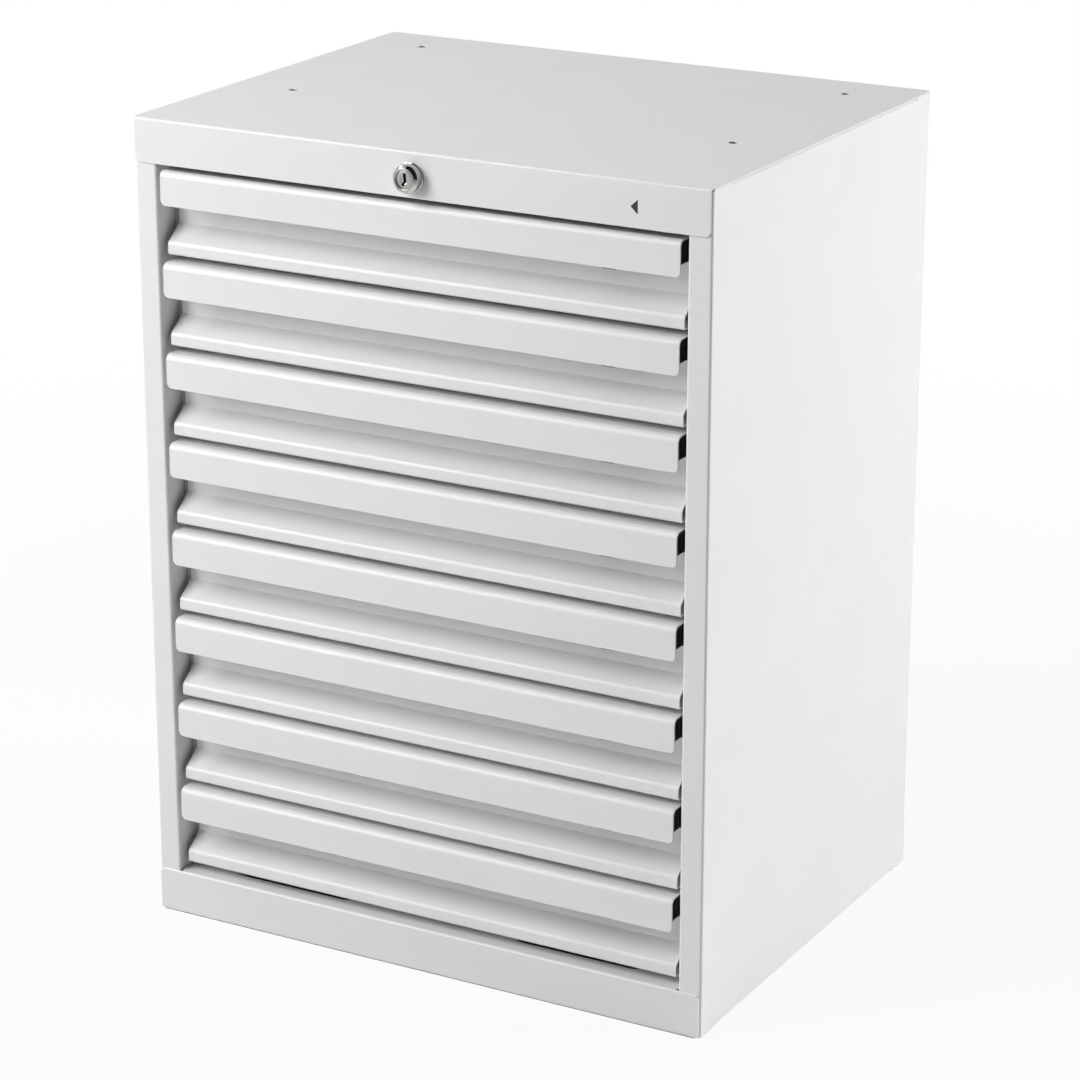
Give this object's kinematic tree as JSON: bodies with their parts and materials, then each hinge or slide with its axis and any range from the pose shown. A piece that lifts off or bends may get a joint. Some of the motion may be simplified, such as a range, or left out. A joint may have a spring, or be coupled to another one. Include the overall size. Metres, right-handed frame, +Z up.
{
  "type": "van drawer cabinet",
  "caption": "Free-standing steel drawer cabinet for vans and workshops, with folded drawer fronts, side latches, full extension ball slides and one lock that blocks every drawer.",
  "frame": {"origin": "middle of the footprint, on the surface that the cabinet stands on", "axes": "+X to the right and +Y to the back as seen from the front, +Z up"},
  "size_m": [0.4572, 0.3646, 0.6096],
  "materials": {
    "white_powder_coat": "white semi-gloss powder coat on sheet steel",
    "zinc_plated_steel": "bright zinc plate",
    "black_plastic": "moulded black plastic, fine matte grain",
    "polished_nickel": "polished nickel plate on die-cast zinc"
  },
  "bodies": {
    "case": {"left_side_panel": "white_powder_coat", "right_side_panel": "white_powder_coat", "top_panel": "white_powder_coat", "base_panel": "white_powder_coat", "back_panel": "white_powder_coat", "base_channel": "white_powder_coat", "slide_uprights_left": "white_powder_coat", "slide_uprights_right": "white_powder_coat", "slide_cabinet_members_left": "zinc_plated_steel", "slide_cabinet_members_right": "zinc_plated_steel", "lock_housing": "polished_nickel", "lock_nut": "zinc_plated_steel", "lock_rod_bracket": "zinc_plated_steel", "lock_bar_guides": "zinc_plated_steel"},
    "drawer_1": {"drawer_1_front": "white_powder_coat", "drawer_1_box": "white_powder_coat", "drawer_1_slide_runners": "zinc_plated_steel"},
    "drawer_1_middles": {"drawer_1_slide_middles": "zinc_plated_steel"},
    "drawer_1_latch": {"drawer_1_latch": "black_plastic"},
    "drawer_2": {"drawer_2_front": "white_powder_coat", "drawer_2_box": "white_powder_coat", "drawer_2_slide_runners": "zinc_plated_steel"},
    "drawer_2_middles": {"drawer_2_slide_middles": "zinc_plated_steel"},
    "drawer_2_latch": {"drawer_2_latch": "black_plastic"},
    "drawer_3": {"drawer_3_front": "white_powder_coat", "drawer_3_box": "white_powder_coat", "drawer_3_slide_runners": "zinc_plated_steel"},
    "drawer_3_middles": {"drawer_3_slide_middles": "zinc_plated_steel"},
    "drawer_3_latch": {"drawer_3_latch": "black_plastic"},
    "drawer_4": {"drawer_4_front": "white_powder_coat", "drawer_4_box": "white_powder_coat", "drawer_4_slide_runners": "zinc_plated_steel"},
    "drawer_4_middles": {"drawer_4_slide_middles": "zinc_plated_steel"},
    "drawer_4_latch": {"drawer_4_latch": "black_plastic"},
    "drawer_5": {"drawer_5_front": "white_powder_coat", "drawer_5_box": "white_powder_coat", "drawer_5_slide_runners": "zinc_plated_steel"},
    "drawer_5_middles": {"drawer_5_slide_middles": "zinc_plated_steel"},
    "drawer_5_latch": {"drawer_5_latch": "black_plastic"},
    "drawer_6": {"drawer_6_front": "white_powder_coat", "drawer_6_box": "white_powder_coat", "drawer_6_slide_runners": "zinc_plated_steel"},
    "drawer_6_middles": {"drawer_6_slide_middles": "zinc_plated_steel"},
    "drawer_6_latch": {"drawer_6_latch": "black_plastic"},
    "drawer_7": {"drawer_7_front": "white_powder_coat", "drawer_7_box": "white_powder_coat", "drawer_7_slide_runners": "zinc_plated_steel"},
    "drawer_7_middles": {"drawer_7_slide_middles": "zinc_plated_steel"},
    "drawer_7_latch": {"drawer_7_latch": "black_plastic"},
    "drawer_8": {"drawer_8_front": "white_powder_coat", "drawer_8_box": "white_powder_coat", "drawer_8_slide_runners": "zinc_plated_steel"},
    "drawer_8_middles": {"drawer_8_slide_middles": "zinc_plated_steel"},
    "drawer_8_latch": {"drawer_8_latch": "black_plastic"},
    "lock_cylinder": {"lock_plug": "polished_nickel", "lock_rod": "zinc_plated_steel"},
    "lock_bar": {"lock_bar": "zinc_plated_steel"}
  },
  "joints": [
    {"name": "drawer_1_slide", "type": "slide", "parent": "case", "child": "drawer_1", "axis": [0, -1, 0], "range_m": [0, 0.3048]},
    {"name": "drawer_1_middle_slide", "type": "slide", "parent": "case", "child": "drawer_1_middles", "axis": [0, -1, 0], "range_m": [0, 0.1524]},
    {"name": "drawer_1_latch_slide", "type": "slide", "parent": "drawer_1", "child": "drawer_1_latch", "axis": [-1, 0, 0], "range_m": [0, 0.007], "stiffness_N_per_m": 150},
    {"name": "drawer_2_slide", "type": "slide", "parent": "case", "child": "drawer_2", "axis": [0, -1, 0], "range_m": [0, 0.3048]},
    {"name": "drawer_2_middle_slide", "type": "slide", "parent": "case", "child": "drawer_2_middles", "axis": [0, -1, 0], "range_m": [0, 0.1524]},
    {"name": "drawer_2_latch_slide", "type": "slide", "parent": "drawer_2", "child": "drawer_2_latch", "axis": [-1, 0, 0], "range_m": [0, 0.007], "stiffness_N_per_m": 150},
    {"name": "drawer_3_slide", "type": "slide", "parent": "case", "child": "drawer_3", "axis": [0, -1, 0], "range_m": [0, 0.3048]},
    {"name": "drawer_3_middle_slide", "type": "slide", "parent": "case", "child": "drawer_3_middles", "axis": [0, -1, 0], "range_m": [0, 0.1524]},
    {"name": "drawer_3_latch_slide", "type": "slide", "parent": "drawer_3", "child": "drawer_3_latch", "axis": [-1, 0, 0], "range_m": [0, 0.007], "stiffness_N_per_m": 150},
    {"name": "drawer_4_slide", "type": "slide", "parent": "case", "child": "drawer_4", "axis": [0, -1, 0], "range_m": [0, 0.3048]},
    {"name": "drawer_4_middle_slide", "type": "slide", "parent": "case", "child": "drawer_4_middles", "axis": [0, -1, 0], "range_m": [0, 0.1524]},
    {"name": "drawer_4_latch_slide", "type": "slide", "parent": "drawer_4", "child": "drawer_4_latch", "axis": [-1, 0, 0], "range_m": [0, 0.007], "stiffness_N_per_m": 150},
    {"name": "drawer_5_slide", "type": "slide", "parent": "case", "child": "drawer_5", "axis": [0, -1, 0], "range_m": [0, 0.3048]},
    {"name": "drawer_5_middle_slide", "type": "slide", "parent": "case", "child": "drawer_5_middles", "axis": [0, -1, 0], "range_m": [0, 0.1524]},
    {"name": "drawer_5_latch_slide", "type": "slide", "parent": "drawer_5", "child": "drawer_5_latch", "axis": [-1, 0, 0], "range_m": [0, 0.007], "stiffness_N_per_m": 150},
    {"name": "drawer_6_slide", "type": "slide", "parent": "case", "child": "drawer_6", "axis": [0, -1, 0], "range_m": [0, 0.3048]},
    {"name": "drawer_6_middle_slide", "type": "slide", "parent": "case", "child": "drawer_6_middles", "axis": [0, -1, 0], "range_m": [0, 0.1524]},
    {"name": "drawer_6_latch_slide", "type": "slide", "parent": "drawer_6", "child": "drawer_6_latch", "axis": [-1, 0, 0], "range_m": [0, 0.007], "stiffness_N_per_m": 150},
    {"name": "drawer_7_slide", "type": "slide", "parent": "case", "child": "drawer_7", "axis": [0, -1, 0], "range_m": [0, 0.3048]},
    {"name": "drawer_7_middle_slide", "type": "slide", "parent": "case", "child": "drawer_7_middles", "axis": [0, -1, 0], "range_m": [0, 0.1524]},
    {"name": "drawer_7_latch_slide", "type": "slide", "parent": "drawer_7", "child": "drawer_7_latch", "axis": [-1, 0, 0], "range_m": [0, 0.007], "stiffness_N_per_m": 150},
    {"name": "drawer_8_slide", "type": "slide", "parent": "case", "child": "drawer_8", "axis": [0, -1, 0], "range_m": [0, 0.3048]},
    {"name": "drawer_8_middle_slide", "type": "slide", "parent": "case", "child": "drawer_8_middles", "axis": [0, -1, 0], "range_m": [0, 0.1524]},
    {"name": "drawer_8_latch_slide", "type": "slide", "parent": "drawer_8", "child": "drawer_8_latch", "axis": [-1, 0, 0], "range_m": [0, 0.007], "stiffness_N_per_m": 150},
    {"name": "lock_turn", "type": "hinge", "parent": "case", "child": "lock_cylinder", "pos_m": [0, -0.1778, 0.5916], "axis": [0, 1, 0], "range_deg": [0, 90]},
    {"name": "lock_bar_slide", "type": "slide", "parent": "case", "child": "lock_bar", "axis": [0, 0, -1], "range_m": [0, 0.01556]}
  ],
  "couplings": [
    {"joint": "drawer_1_middle_slide", "follows": "drawer_1_slide", "ratio": 0.5},
    {"joint": "drawer_2_middle_slide", "follows": "drawer_2_slide", "ratio": 0.5},
    {"joint": "drawer_3_middle_slide", "follows": "drawer_3_slide", "ratio": 0.5},
    {"joint": "drawer_4_middle_slide", "follows": "drawer_4_slide", "ratio": 0.5},
    {"joint": "drawer_5_middle_slide", "follows": "drawer_5_slide", "ratio": 0.5},
    {"joint": "drawer_6_middle_slide", "follows": "drawer_6_slide", "ratio": 0.5},
    {"joint": "drawer_7_middle_slide", "follows": "drawer_7_slide", "ratio": 0.5},
    {"joint": "drawer_8_middle_slide", "follows": "drawer_8_slide", "ratio": 0.5},
    {"joint": "lock_turn", "follows": "lock_bar_slide", "rad_per_m": 100.97}
  ]
}
